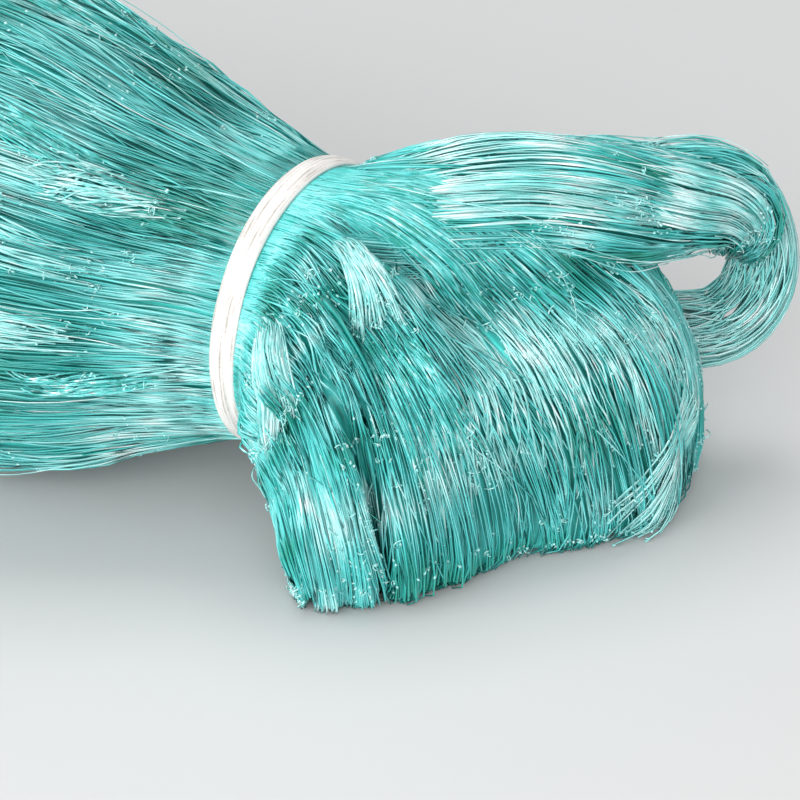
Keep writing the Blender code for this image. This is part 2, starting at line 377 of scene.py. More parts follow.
def bundle(name, paths, sides, radius, finish):
    """Three-sided tubes: paths[n, k] are their points and sides[n, k] a direction across each path.
    Each ring is the path's point plus radius times a turn between two directions square to it."""
    count, points = paths.shape[:2]
    tangents = unit(np.gradient(paths, axis=1))
    first = unit(np.cross(tangents, sides))
    second = np.cross(tangents, first)
    turn = np.array([0.5, 7 / 6, 11 / 6]) * math.pi
    radius = np.broadcast_to(radius, (count, points))[..., None, None]
    rings = paths[:, :, None] + radius * (np.cos(turn)[:, None] * first[:, :, None]
                                          + np.sin(turn)[:, None] * second[:, :, None])
    number = np.arange(count * points * 3).reshape(count, points, 3)
    quads = np.stack([number[:, :-1], np.roll(number[:, :-1], -1, 2),
                      np.roll(number[:, 1:], -1, 2), number[:, 1:]], -1).reshape(-1, 4)
    caps = np.vstack([number[:, 0, ::-1], number[:, -1]])
    strip = (np.arange(count)[:, None, None] + 0.5 + np.array([-0.3, 0.0, 0.3])) / count
    along = np.linspace(0.01, 0.99, points)[None, :, None]
    uvs = np.stack(np.broadcast_arrays(strip, along), -1).reshape(-1, 2)
    put_mesh(name, rings.reshape(-1, 3), quads, caps, uvs, finish)


# %% [markdown]
# ## Uneven by rule
# A gathered net is never even. One function gives smooth random heights on a coarse grid that closes
# on itself round the hank. The gathers, the drift of the filaments and their lift all read it, each
# at its own cell size.

# %% Smooth noise round the hank
def ripple(across, along, cells_across, cells_along, seed):
    """Random heights from -1 to 1 at the corners of a grid, joined by smooth steps. across has a
    period of one, along runs from 0 to 1."""
    grid = np.random.default_rng(seed).uniform(-1, 1, (cells_across, cells_along + 2))
    a = np.mod(across, 1.0) * cells_across
    b = np.clip(along, 0, 1) * cells_along
    i, j = np.floor(a).astype(int) % cells_across, np.floor(b).astype(int)
    u, v = smooth_step(a - np.floor(a)), smooth_step(b - np.floor(b))
    k = (i + 1) % cells_across
    return ((grid[i, j] * (1 - u) + grid[k, j] * u) * (1 - v)
            + (grid[i, j + 1] * (1 - u) + grid[k, j + 1] * u) * v)


def through(rows, steps, closed=False):
    """Rows on a smooth Catmull-Rom curve through the given rows, steps to each span. A closed curve
    takes its end spans from rows that already repeat past one turn."""
    rows = np.array(rows, float)
    if not closed:
        rows = np.vstack([2 * rows[0] - rows[1], rows, 2 * rows[-1] - rows[-2]])
    t = np.linspace(0, 1, steps, endpoint=False)[:, None]
    spans = [0.5 * (2 * b + (c - a) * t + (2 * a - 5 * b + 4 * c - d) * t ** 2
                    + (3 * b - a - 3 * c + d) * t ** 3)
             for a, b, c, d in zip(rows, rows[1:], rows[2:], rows[3:])]
    return np.vstack(spans + [rows[-2:-1]])


# %% [markdown]
# ## The body
# The body is a long oval bag. Its stations are read off a short table, from the closed end to the
# neck, and the furrows between the big gathers run along it. Every form here takes a turn round the
# hank, as a share of one, and a place along it from 0 to 1.

# %% The body's form
Station = namedtuple("Station", "x half_width half_height middle_y middle_z")
BODY = (
    Station(-0.2640, 0.0000, 0.0000, -0.004, 0.0470),
    Station(-0.2605, 0.0190, 0.0170, -0.004, 0.0480),
    Station(-0.2520, 0.0430, 0.0370, -0.005, 0.0510),
    Station(-0.2310, 0.0600, 0.0520, -0.006, 0.0560),
    Station(-0.1960, 0.0680, 0.0600, -0.007, 0.0602),
    Station(-0.1520, 0.0705, 0.0625, -0.008, 0.0630),
    Station(-0.1100, 0.0705, 0.0625, -0.008, 0.0630),
    Station(-0.0780, 0.0670, 0.0600, -0.007, 0.0612),
    Station(-0.0500, 0.0590, 0.0535, -0.005, 0.0592),
    Station(-0.0280, 0.0480, 0.0450, -0.002, 0.0580),
    Station(-0.0120, 0.0395, 0.0385, 0.000, 0.0580),
    Station(-0.0045, NECK_RADIUS, NECK_RADIUS, 0.000, NECK_Z),
    Station(0.0050, NECK_RADIUS, NECK_RADIUS, 0.000, NECK_Z),
)
Furrow = namedtuple("Furrow", "angle depth spread drift")
BODY_FURROWS = (
    Furrow(78.0, 0.13, 8.0, -16.0),
    Furrow(112.0, 0.05, 6.0, 18.0),
    Furrow(132.0, 0.08, 7.0, 14.0),
    Furrow(171.0, 0.08, 8.0, -10.0),
    Furrow(198.0, 0.06, 6.0, 10.0),
    Furrow(220.0, 0.08, 7.0, 12.0),
    Furrow(312.0, 0.08, 12.0, -14.0),
    Furrow(8.0, 0.09, 11.0, 12.0),
)
BODY_INSET = 0.0040
body_rows = np.maximum(through(BODY, 24), (-1, 0, 0, -1, 0))
body_size = body_rows[:, 1:3].mean(axis=1)
body_run = np.concatenate([[0], np.cumsum(np.hypot(np.diff(body_rows[:, 0]), np.diff(body_size)))])
BODY_LENGTH = body_run[-1]
print("body length along its skin mm", BODY_LENGTH / MM)


def off_angle(turn, angle):
    """The signed angle between a turn and an angle, both in degrees, the short way round."""
    return np.mod(turn - angle + 180, 360) - 180


def body_base(across, along):
    """An oval at each station, drawn in at every furrow, which drifts round the body on its way."""
    run = np.clip(along, 0, 1) * BODY_LENGTH
    x, wide, high, middle_y, middle_z = (np.interp(run, body_run, column) for column in body_rows.T)
    free = smooth_step((-x - 0.006) / 0.030)
    turn = 360 * across
    dent = sum(f.depth * np.exp(-(off_angle(turn, f.angle + f.drift * (1 - along)) / f.spread) ** 2)
               for f in BODY_FURROWS)
    angle = 2 * math.pi * across
    inner = 1 - dent * free - BODY_INSET * smooth_step(wide / 0.03) * free / np.maximum(wide, 0.01)
    y = TIE_Y + middle_y + wide * inner * np.cos(angle)
    z = middle_z + high * inner * np.sin(angle)
    return np.stack(np.broadcast_arrays(TIE_X + x, y, z), -1)


# %% [markdown]
# ## The tail
# Past the tape the netting splays like the skirt of a bell, over a shoulder and down to the floor.
# Each row of the table is one gather: where it leaves the neck, where its foot lands, how high its
# shoulder is and how far it runs straight before it turns. The upper front of the neck feeds the
# right-hand folds, so that the gathers sweep across as they fall.

# %% The skirt's form
Fold = namedtuple("Fold", "angle foot_x foot_y shoulder run inset rise")
SKIRT = (
    Fold(-50.0, 0.0140, 0.0500, 0.030, 0.016, 0.10, 1.10),
    Fold(-25.0, 0.0240, 0.0680, 0.050, 0.016, 0.05, 1.10),
    Fold(0.0, 0.0420, 0.0780, 0.064, 0.018, 0.02, 1.12),
    Fold(22.0, 0.0600, 0.0740, 0.080, 0.022, 0.00, 1.18),
    Fold(42.0, 0.0750, 0.0640, 0.090, 0.026, -0.04, 1.20),
    Fold(58.0, 0.0840, 0.0530, 0.092, 0.028, -0.06, 1.20),
    Fold(72.0, 0.0860, 0.0410, 0.088, 0.030, -0.06, 1.18),
    Fold(84.0, 0.0830, 0.0280, 0.082, 0.030, -0.02, 1.14),
    Fold(94.0, 0.0750, 0.0170, 0.078, 0.030, 0.00, 1.10),
    Fold(103.0, 0.0660, 0.0060, 0.076, 0.028, 0.00, 1.08),
    Fold(112.0, 0.0580, -0.0090, 0.075, 0.024, 0.00, 1.06),
    Fold(120.0, 0.0530, -0.0180, 0.073, 0.021, 0.01, 1.06),
    Fold(128.0, 0.0480, -0.0265, 0.070, 0.018, 0.02, 1.06),
    Fold(135.0, 0.0440, -0.0290, 0.068, 0.016, 0.04, 1.08),
    Fold(139.0, 0.0320, -0.0180, 0.067, 0.016, -0.10, 1.08),
    Fold(143.0, 0.0400, -0.0320, 0.065, 0.015, 0.04, 1.08),
    Fold(154.0, 0.0370, -0.0370, 0.060, 0.013, 0.10, 1.08),
    Fold(172.0, 0.0325, -0.0420, 0.052, 0.010, 0.22, 1.12),
    Fold(200.0, 0.0265, -0.0445, 0.040, 0.007, 0.42, 1.18),
    Fold(235.0, 0.0200, -0.0390, 0.026, 0.005, 0.48, 1.18),
    Fold(262.0, 0.0110, -0.0160, 0.014, 0.005, 0.30, 1.05),
    Fold(288.0, 0.0100, 0.0200, 0.014, 0.006, 0.20, 1.05),
)
Valley = namedtuple("Valley", "angle spread start end depth")  # a negative depth is a ridge
SKIRT_VALLEYS = (
    Valley(107.0, 4.0, 0.10, 0.68, 0.0075),
    Valley(98.0, 9.0, 0.42, 0.68, 0.0070),
    Valley(75.0, 12.0, 0.46, 0.68, 0.0045),
    Valley(130.0, 4.0, 0.30, 0.72, 0.0045),
    Valley(151.0, 4.5, 0.12, 0.62, 0.0060),
    Valley(146.0, 2.5, 0.70, 1.20, 0.0050),
    Valley(75.0, 6.0, 0.80, 1.00, 0.0050),
    Valley(196.0, 9.0, 0.10, 0.98, -0.0020),
)
LEAD_IN = 0.04
SKIRT_LEAN = 6.0
HEM_SHARE = 0.07
HEM_HEIGHT = 0.0050
HEM_TURN = 0.004
HEM_CLEAR = 0.0006
skirt_table = np.array(SKIRT)
one_turn = np.array([360.0, 0, 0, 0, 0, 0, 0])
skirt_rows = through(np.vstack([skirt_table[-2:] - one_turn, skirt_table,
                                skirt_table[:2] + one_turn]), 12, closed=True)


def bezier(a, b, c, d, t):
    """A cubic through a and d that leaves towards b and arrives from c."""
    return (1 - t) ** 3 * a + 3 * (1 - t) ** 2 * t * b + 3 * (1 - t) * t ** 2 * c + t ** 3 * d


def skirt_base(across, along):
    """A short straight lead under the tape, a cubic over the shoulder, and a hem that turns under. The
    foot is read a few degrees back in the table, so that every gather leans as it falls."""
    across, along = np.broadcast_arrays(across, along)
    turn = np.mod(360 * across, 360)
    over_x, over_y, shoulder, run, inset, rise = (
        np.interp(turn, skirt_rows[:, 0], column, period=360) for column in skirt_rows[:, 1:].T)
    foot_x, foot_y = (np.interp(turn - SKIRT_LEAN, skirt_rows[:, 0], column, period=360)
                      for column in skirt_rows[:, 1:3].T)
    t = np.clip((along - LEAD_IN) / (1 - LEAD_IN - HEM_SHARE), 0, 1)
    lead = np.clip(along / LEAD_IN, 0, 1)
    under = np.clip((along - 1 + HEM_SHARE) / HEM_SHARE, 0, 1) * math.pi / 2
    angle = np.radians(turn)
    neck_y, neck_z = NECK_RADIUS * np.cos(angle), NECK_Z + NECK_RADIUS * np.sin(angle)
    neck_x = -0.003 + 0.0065 * lead
    x = bezier(neck_x, neck_x + run, over_x * (1 - inset) + inset * neck_x, foot_x, t)
    y = bezier(neck_y, neck_y * rise, over_y * (1 - inset) + inset * neck_y, foot_y, t)
    z = bezier(neck_z, NECK_Z + rise * NECK_RADIUS * np.sin(angle), shoulder, HEM_HEIGHT, t)
    inward = HEM_TURN * (1 - np.cos(under)) / np.hypot(foot_x, foot_y)
    return np.stack([TIE_X + x - inward * foot_x, TIE_Y + y - inward * foot_y,
                     z - (HEM_HEIGHT - HEM_CLEAR) * np.sin(under)], -1)


# %% [markdown]
# The top fold is a fat roll that leaves the top of the neck, runs right across the others, and hangs
# over at its far end. Each row of its table is a place on its spine with the roll's half width and
# half depth there, and the way it faces.

# %% The top fold's form
Bend = namedtuple("Bend", "x y z half_width half_depth facing")
ROLL = (
    Bend(0.0035, 0.006, 0.075, 0.020, 0.016, 0.0),
    Bend(0.0230, 0.015, 0.081, 0.020, 0.016, 17.0),
    Bend(0.0420, 0.031, 0.084, 0.018, 0.015, 34.0),
    Bend(0.0560, 0.045, 0.082, 0.019, 0.0145, 44.0),
    Bend(0.0680, 0.058, 0.079, 0.017, 0.013, 50.0),
    Bend(0.0770, 0.070, 0.077, 0.014, 0.0115, 50.0),
    Bend(0.0825, 0.077, 0.071, 0.013, 0.010, 48.0),
    Bend(0.0815, 0.076, 0.060, 0.012, 0.007, 45.0),
)
ROLL_TWIST = math.radians(110.0)
roll_rows = through(ROLL, 16)
roll_place = np.linspace(0, 1, len(roll_rows))
roll_spine = roll_rows[:, :3] + (TIE_X, TIE_Y, 0)
roll_tangent = unit(np.gradient(roll_spine, axis=0))
roll_facing = np.radians(roll_rows[:, 5])
roll_level = np.stack([-np.sin(roll_facing), np.cos(roll_facing), 0 * roll_facing], -1)
roll_outward = unit(np.cross(roll_tangent, roll_level))


def roll_base(across, along):
    """An oval carried down the roll's spine, closed at both ends by shrinking to nothing. The oval
    turns on its way, so that filaments from the top come round to the front."""
    across, along = np.broadcast_arrays(across, along)
    ends = np.sin(np.sqrt(np.clip(np.minimum(along / 0.04, (1 - along) / 0.12), 0, 1)) * math.pi / 2)
    carried = np.concatenate([roll_spine, roll_rows[:, 3:4] * roll_level,
                              roll_rows[:, 4:5] * roll_outward], 1)
    placed = np.stack([np.interp(along, roll_place, column) for column in carried.T], -1)
    angle = 2 * math.pi * across + ROLL_TWIST * along
    return (placed[..., :3] + (ends * np.cos(angle))[..., None] * placed[..., 3:6]
            + (ends * np.sin(angle))[..., None] * placed[..., 6:9])


# %% [markdown]
# ## Gathers on every form
# A gather is a small ridge that runs along the form. Its height is added square to the surface, and
# the square direction comes from two neighbouring points of the same surface, so that one function
# serves all three forms.

# %% Standing off a form
STEP = 0.002


def raised(base, across, along, height):
    """The point of the form, moved by height along the cross of its two directions. It stays above
    the floor."""
    inside = np.clip(along, 0.02, 0.98)
    here = base(across, inside)
    normal = unit(np.cross(base(across + STEP, inside) - here, base(across, inside + STEP) - here))
    point = base(across, along) + np.asarray(height)[..., None] * normal
    point[..., 2] = np.maximum(point[..., 2], 0.0004)
    return point


def body_form(across, along, lift):
    """The body's oval with two sizes of gather on it. Both fade out towards the neck."""
    gathers = (0.0034 * ripple(across + 0.03 * along, along, 19, 4, 11)
               + 0.0020 * ripple(across - 0.02 * along, along, 47, 7, 12))
    from_neck = (1 - along) * BODY_LENGTH
    free = smooth_step((from_neck - 0.010) / 0.022)
    ridged = smooth_step((from_neck - 0.010) / 0.065)
    return raised(body_base, across, along, gathers * ridged + lift * free - 0.0003 * (1 - free))


def skirt_form(across, along, lift):
    """The skirt with two sizes of gather, less each valley's bell-shaped groove between its start
    and end. Everything fades out at the neck and is calmer on the side that lies under it."""
    gathers = 0.0034 * ripple(across, along, 26, 2, 21) + 0.0016 * ripple(across, along, 61, 4, 22)
    gathers = gathers * smooth_step((along - 0.06) / 0.45) - sum(
        v.depth * np.exp(-(off_angle(360 * across, v.angle) / v.spread) ** 2)
        * smooth_step((along - v.start) / 0.12) * smooth_step((v.end - along) / 0.12)
        for v in SKIRT_VALLEYS)
    free = smooth_step((along - 0.06) / 0.22)
    calm = 1 - 0.65 * np.exp(-(off_angle(360 * across, 238.0) / 48.0) ** 2)
    return raised(skirt_base, across, along, (gathers + lift) * free * calm - 0.0003 * (1 - free))


def roll_form(across, along, lift):
    """The roll's oval with two sizes of gather, which fade out at the neck."""
    gathers = 0.0020 * ripple(across, along, 12, 3, 31) + 0.0010 * ripple(across, along, 31, 5, 32)
    free = smooth_step(along / 0.2)
    return raised(roll_base, across, along, (gathers + lift) * free)


# %% Dark inner skins, painted as shade
CORE_DEPTH = -0.0016


def core(name, form, columns, rows, start, end):
    """A closed skin on the form, sunk by CORE_DEPTH, from start to end along it."""
    across, along = np.meshgrid(np.arange(columns) / columns, np.linspace(start, end, rows))
    return skin(name, form(across, along, CORE_DEPTH), inner_nylon)


body_core = core("net_body_core", body_form, 160, 70, 0.004, 1.0)
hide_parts("net")
core("net_skirt_core", skirt_form, 180, 40, 0.0, 1.0)
core("net_roll_core", roll_form, 60, 40, 0.01, 0.99)


# %% [markdown]
# ## Filaments
# Netting is knotted in rows of meshes. Gathered lengthwise, the filaments between two rows lie side
# by side and draw together at the knots, so a lock of a dozen filaments pinches at each row and
# loosens between. One function gives every filament's place on its form. The tubes are 0.28 mm in
# radius, two to three times the real thickness, so that a whole hank takes thousands of them and not
# hundreds of thousands.

# %% Laying filaments
FILAMENT_RADIUS = 0.00028
ROW_LENGTH = 0.036


def wander(rng, count, points, bends):
    """A smooth random line for each filament, from -1 to 1, with the given number of bends."""
    values = rng.uniform(-1, 1, (count, bends + 2))
    place = np.linspace(0, bends, points)
    cell = np.floor(place).astype(int)
    blend = smooth_step(place - cell)
    return values[:, cell] * (1 - blend) + values[:, cell + 1] * blend


def lay(rng, count, points, locks, rows, spans, tightness=0.55, loft=0.0011, slant=0.02,
        height=0.0):
    """Turn, place along and lift for each filament. A filament belongs to a lock, keeps its own place
    in it, and shares the lock's drift and height. spans gives its start and end along the form."""
    lock = np.sort(rng.integers(0, locks, count))
    centre = ((lock + 0.5) / locks)[:, None] + 0.25 / locks * rng.uniform(-1, 1, locks)[lock][:, None]
    start, end = (edge[:, None] for edge in spans)
    step = np.linspace(0, 1, points)
    uneven = (0.45 / points * np.minimum(1, 8 * np.minimum(step, 1 - step))
              * rng.uniform(-1, 1, (count, 1)))
    along = start + (end - start) * (step + uneven)
    seed = int(rng.integers(1, 9999))
    phase = rows * along + 0.7 * ripple(centre, along, 7, 3, seed)
    pinch = (0.5 + 0.5 * np.cos(2 * math.pi * phase)) ** 2
    own = rng.normal(0, 0.42, (count, 1)) / locks
    drift = 0.5 / locks * ripple(centre, along, locks // 2, 6, seed + 1)
    cross = slant * rng.normal(0, 1, (count, 1)) ** 3 * 0.3 * (along - (start + end) / 2)
    across = centre + own * (1 - tightness * pinch) + drift + cross
    across = across + 0.06 / locks * wander(rng, count, points, 5)
    shared = 0.0012 * ripple(centre, along, locks, 5, seed + 2)
    loose = (loft * rng.uniform(0, 1, (count, 1)) ** 2 * (1 - pinch)
             * (1 + wander(rng, count, points, 6)))
    lift = height + shared + loose + 0.0005 * rng.uniform(-1, 1, (count, 1))
    return across, along, lift, pinch


def whole(rng, count, start, end, ragged):
    """Start and end of filaments that run the whole form, the end uneven by ragged."""
    return np.full(count, start), end - ragged * rng.uniform(0, 1, count)


def soften(paths, times=1):
    """Each inner point drawn a quarter of the way towards each neighbour, so no tube has a kink."""
    for _ in range(times):
        inner = (paths[:, :-2] + 2 * paths[:, 1:-1] + paths[:, 2:]) / 4
        paths = np.concatenate([paths[:, :1], inner, paths[:, -1:]], 1)
    return paths


def on_form(name, form, laid, finish):
    """Tubes along the laid filaments. Each one's side direction is the way round the form."""
    across, along, lift, _ = laid
    paths = soften(form(across, along, lift))
    sides = unit(form(across + STEP, along, lift) - paths)
    bundle(name, paths, sides, FILAMENT_RADIUS, finish)
    return paths


BODY_ROWS_OF_KNOTS = BODY_LENGTH / ROW_LENGTH
rng = np.random.default_rng(101)
body_inner = lay(rng, 620, 40, 90, BODY_ROWS_OF_KNOTS, whole(rng, 620, 0.004, 1.0, 0.0))
on_form("net_body_filaments_inner", body_form, body_inner, packed_nylon_painted_shade_and_highlights)
rng = np.random.default_rng(102)
body_outer = lay(rng, 620, 40, 64, BODY_ROWS_OF_KNOTS, whole(rng, 620, 0.004, 1.0, 0.0),
                 tightness=0.7, loft=0.0022, slant=0.05, height=0.0006)
body_paths = on_form("net_body_filaments_outer", body_form, body_outer, packed_nylon_painted_shade_and_highlights)

SKIRT_ROWS_OF_KNOTS = 3.6
rng = np.random.default_rng(103)
skirt_inner = lay(rng, 900, 24, 110, SKIRT_ROWS_OF_KNOTS, whole(rng, 900, 0.0, 1.0, 0.0))
on_form("net_skirt_filaments_inner", skirt_form, skirt_inner, filament_nylon_painted_highlights)
rng = np.random.default_rng(104)
skirt_outer = lay(rng, 900, 24, 84, SKIRT_ROWS_OF_KNOTS, whole(rng, 900, 0.0, 1.0, 0.02),
                  tightness=0.7, loft=0.0022, slant=0.03, height=0.0008)
skirt_paths = on_form("net_skirt_filaments_outer", skirt_form, skirt_outer, filament_nylon_painted_highlights)

ROLL_ROWS_OF_KNOTS = 3.2
rng = np.random.default_rng(105)
roll_laid = lay(rng, 600, 23, 60, ROLL_ROWS_OF_KNOTS, whole(rng, 600, 0.0, 1.0, 0.02), loft=0.0016)
roll_paths = on_form("net_roll_filaments", roll_form, roll_laid, filament_nylon_painted_highlights)


# %% [markdown]
# ## Short plies
# Here and there one ply of the netting ends on top of the others, in a fan of filaments with its knots
# in a ragged row. A ply rises out of the form and lies a few millimetres above it. The pale ones are
# thin enough for light to come through, and their finish paints that light as a paler colour. The
# fourth is a broad band across the tail.

# %% Plies on top
Ply = namedtuple("Ply", "form angle_start width_start angle_end width_end start end height count")
PLIES = (
    Ply(skirt_form, 88.0, 30.0, 84.0, 44.0, 0.05, 0.58, 0.0032, 230),
    Ply(skirt_form, 124.0, 10.0, 122.0, 16.0, 0.48, 0.80, 0.0030, 60),
    Ply(skirt_form, 20.0, 20.0, 18.0, 30.0, 0.30, 0.62, 0.0035, 60),
    Ply(body_form, 116.0, 10.0, 120.0, 9.0, 0.71, 0.86, 0.0022, 50),
    Ply(body_form, 141.0, 9.0, 139.0, 9.0, 0.64, 0.80, 0.0024, 50),
    Ply(body_form, 190.0, 8.0, 187.0, 6.0, 0.80, 0.93, 0.0035, 50),
    Ply(body_form, 60.0, 14.0, 64.0, 10.0, 0.55, 0.78, 0.0035, 50),
    Ply(body_form, 10.0, 14.0, 6.0, 10.0, 0.40, 0.66, 0.0035, 50),
    Ply(body_form, 95.0, 14.0, 99.0, 10.0, 0.30, 0.52, 0.0035, 50),
    Ply(body_form, 320.0, 14.0, 326.0, 10.0, 0.60, 0.84, 0.0035, 50),
)
PALE_PLIES = (
    Ply(skirt_form, 113.0, 4.0, 122.0, 14.0, 0.19, 0.48, 0.0048, 90),
    Ply(skirt_form, 148.0, 8.0, 178.0, 34.0, 0.10, 0.50, 0.0026, 130),
    Ply(skirt_form, 62.0, 10.0, 90.0, 16.0, 0.76, 0.96, 0.0024, 70),
    Ply(skirt_form, 96.0, 56.0, 98.0, 60.0, 0.61, 0.86, 0.0014, 180),
    Ply(roll_form, 85.0, 110.0, 70.0, 100.0, 0.08, 0.50, 0.0016, 110),
    Ply(roll_form, 70.0, 80.0, 80.0, 70.0, 0.44, 0.84, 0.0020, 70),
    Ply(body_form, 128.0, 12.0, 123.0, 9.0, 0.79, 0.91, 0.0025, 60),
    Ply(body_form, 146.0, 12.0, 150.0, 10.0, 0.72, 0.87, 0.0024, 60),
    Ply(body_form, 172.0, 12.0, 174.0, 10.0, 0.73, 0.87, 0.0022, 60),
)
PLY_POINTS = 12
PLY_SUNK = 0.0015
BAND = 3


def ply_paths(rng, ply):
    """Filaments from one turn and width to another, lifted in an arch, with uneven ends."""
    s = np.linspace(0, 1, PLY_POINTS)
    own = rng.uniform(-1, 1, (ply.count, 1))
    middle = ply.angle_start + (ply.angle_end - ply.angle_start) * s
    width = ply.width_start + (ply.width_end - ply.width_start) * s
    turn = middle + 0.5 * width * own + 0.8 * wander(rng, ply.count, PLY_POINTS, 3)
    end = ply.end - 0.07 * rng.uniform(0, 1, (ply.count, 1)) + 0.02 * np.sin(9 * own)
    start = ply.start + 0.04 * rng.uniform(0, 1, (ply.count, 1))
    lift = (-PLY_SUNK + (ply.height + PLY_SUNK) * smooth_step(s / 0.4)
            * (1 - 0.35 * smooth_step(2 * s - 1)))
    lift = lift + 0.0009 * rng.uniform(-1, 1, (ply.count, 1)) * s
    across, along = turn / 360, start + (end - start) * s
    return ply.form(across, along, lift)


def crosswise(paths):
    """A direction across each path: the way to the path before it in the list."""
    return unit(np.roll(paths, 1, axis=0) - paths + 1e-5)


rng = np.random.default_rng(107)
ply_lines = [ply_paths(rng, ply) for ply in PLIES]
pale_lines = [ply_paths(rng, ply) for ply in PALE_PLIES]
plies, pale_plies = np.concatenate(ply_lines), np.concatenate(pale_lines)
bundle("net_ply_filaments", plies, crosswise(plies), FILAMENT_RADIUS, filament_nylon_painted_highlights)
bundle("net_pale_ply_filaments", pale_plies, crosswise(pale_plies), FILAMENT_RADIUS, loose_nylon_painted_light)


# %% [markdown]
# ## Knots and curls
# Every mesh ends in a small hard knot, and the filament's spring lifts little curls round it. Gathered,
# they lie in ragged rows across the hank and catch the light as bright specks, partly their own gloss
# and partly painted highlight in their pale finish. A knot is a stretched eight-sided bead on the
# filament; a curl is most of a small circle that stands off it.

# %% Knots
KNOT_LONG = 0.00080
KNOT_RADIUS = 0.00044


def knot_places(rng, laid, paths, count, bare):
    """Points on the filaments, with their directions, picked where the rows pinch, in clusters, and
    not where bare, the distance along from the tape, is small."""
    across, along, _, pinch = laid
    cluster = ripple(across, along, 13, 7, int(rng.integers(1, 999)))
    likely = pinch ** 4 * np.clip(0.35 + cluster, 0.02, 2) * smooth_step(bare / 0.25)
    likely = likely[:, 1:-1].ravel()
    picked = rng.choice(likely.size, count, replace=False, p=likely / likely.sum())
    n, k = np.unravel_index(picked, pinch[:, 1:-1].shape)
    return paths[n, k + 1], unit(paths[n, k + 2] - paths[n, k])


def beads(name, places, directions, turns, finish):
    """Octahedra stretched along directions: two ends and four corners square to them."""
    side = unit(np.cross(directions, turns))
    other = np.cross(directions, side)
    corner = np.stack([side, other, -side, -other], 1) * KNOT_RADIUS + places[:, None]
    ends = places[:, None] + np.stack([-directions, directions], 1) * KNOT_LONG
    points = np.concatenate([corner, ends], 1)
    first = np.arange(4)
    following = np.roll(first, -1)
    pattern = np.vstack([np.stack([following, first, np.full(4, 4)], -1),
                         np.stack([first, following, np.full(4, 5)], -1)])
    triangles = (pattern + 6 * np.arange(len(places))[:, None, None]).reshape(-1, 3)
    strip = (np.arange(len(places))[:, None] + 0.5 + 0.3 * np.array([-1, 0, 1, 0, 0, 0])) / len(places)
    along = np.broadcast_to(np.array([0.5, 0.52, 0.5, 0.48, 0.2, 0.8]), strip.shape)
    points = points.reshape(-1, 3)
    points[:, 2] = np.maximum(points[:, 2], 0.0002)
    uvs = np.stack([strip, along], -1).reshape(-1, 2)
    return put_mesh(name, points, np.zeros((0, 4), int), triangles, uvs, finish)


rng = np.random.default_rng(108)
spots = [knot_places(rng, body_outer, body_paths, 2300, 1.0 - body_outer[1]),
         knot_places(rng, skirt_outer, skirt_paths, 2000, skirt_outer[1] - 0.05),
         knot_places(rng, roll_laid, roll_paths, 900, roll_laid[1])]
starts = pale_lines[BAND][:, 3::-1]
ended = [line[::2] for line in ply_lines + pale_lines] + [skirt_paths[::3, :22], starts]
ply_ends = np.concatenate([line[:, -1] for line in ended])
ply_ways = np.concatenate([unit(line[:, -1] - line[:, -2]) for line in ended])
knots_at = np.concatenate([places for places, _ in spots] + [ply_ends])
knots_way = np.concatenate([ways for _, ways in spots] + [ply_ways])
beads("net_knots", knots_at, unit(knots_way + 0.5 * rng.normal(0, 1, knots_way.shape)),
      rng.normal(0, 1, knots_way.shape), loose_nylon_painted_light)

# %% Curls round the knots
CURLS = 2900
CURL_POINTS = 6
CURL_RADIUS = 0.00019
picked = rng.choice(len(knots_at), CURLS)
arc = (np.linspace(0, 1, CURL_POINTS) * math.radians(190)
       + rng.uniform(0, 2 * math.pi, (CURLS, 1)))
size = rng.uniform(0.0005, 0.0013, (CURLS, 1))
one = unit(rng.normal(0, 1, (CURLS, 3)))
two = unit(np.cross(one, rng.normal(0, 1, (CURLS, 3))))
stretch = rng.uniform(0.6, 1.7, (CURLS, 1))
curl_paths = (knots_at[picked][:, None] + (size * np.cos(arc))[..., None] * one[:, None]
              + (size * stretch * np.sin(arc))[..., None] * two[:, None])
curl_paths[..., 2] = np.maximum(curl_paths[..., 2], 0.0006)
bundle("net_curls", curl_paths, np.broadcast_to(np.cross(one, two)[:, None], curl_paths.shape),
       CURL_RADIUS, loose_nylon_painted_light)

# %% [markdown]
# Strays stand a few millimetres off the hank, so that its edge against the room is soft and not a cut
# line.

# %% Strays
STRAY_RADIUS = 0.00016
STRAY_POINTS = 16
STRAY_ARCH = 0.0028
rng = np.random.default_rng(109)
stray_sets = []
for form, count, rows, first, last in ((body_form, 120, BODY_ROWS_OF_KNOTS, 0.02, 0.96),
                                       (skirt_form, 70, SKIRT_ROWS_OF_KNOTS, 0.25, 0.98),
                                       (roll_form, 90, ROLL_ROWS_OF_KNOTS, 0.05, 0.9)):
    start = rng.uniform(first, last - 0.25, count)
    spans = (start, np.minimum(start + rng.uniform(0.15, 0.4, count), last))
    across, along, lift, _ = lay(rng, count, STRAY_POINTS, 40, rows, spans, slant=0.05,
                                height=0.0012)
    arch = (np.sin(math.pi * np.linspace(0, 1, STRAY_POINTS)) * STRAY_ARCH
            * rng.uniform(0, 1, (count, 1)) ** 2)
    stray_sets.append(form(across, along, lift + arch))
strays = soften(np.concatenate(stray_sets), 3)
bundle("net_strays", strays, crosswise(strays), STRAY_RADIUS, loose_nylon_painted_light)


# %% [markdown]
# ## The slack loop
# A few dozen filaments slipped out of the top fold and hang as an open loop, thin enough to see
# through.

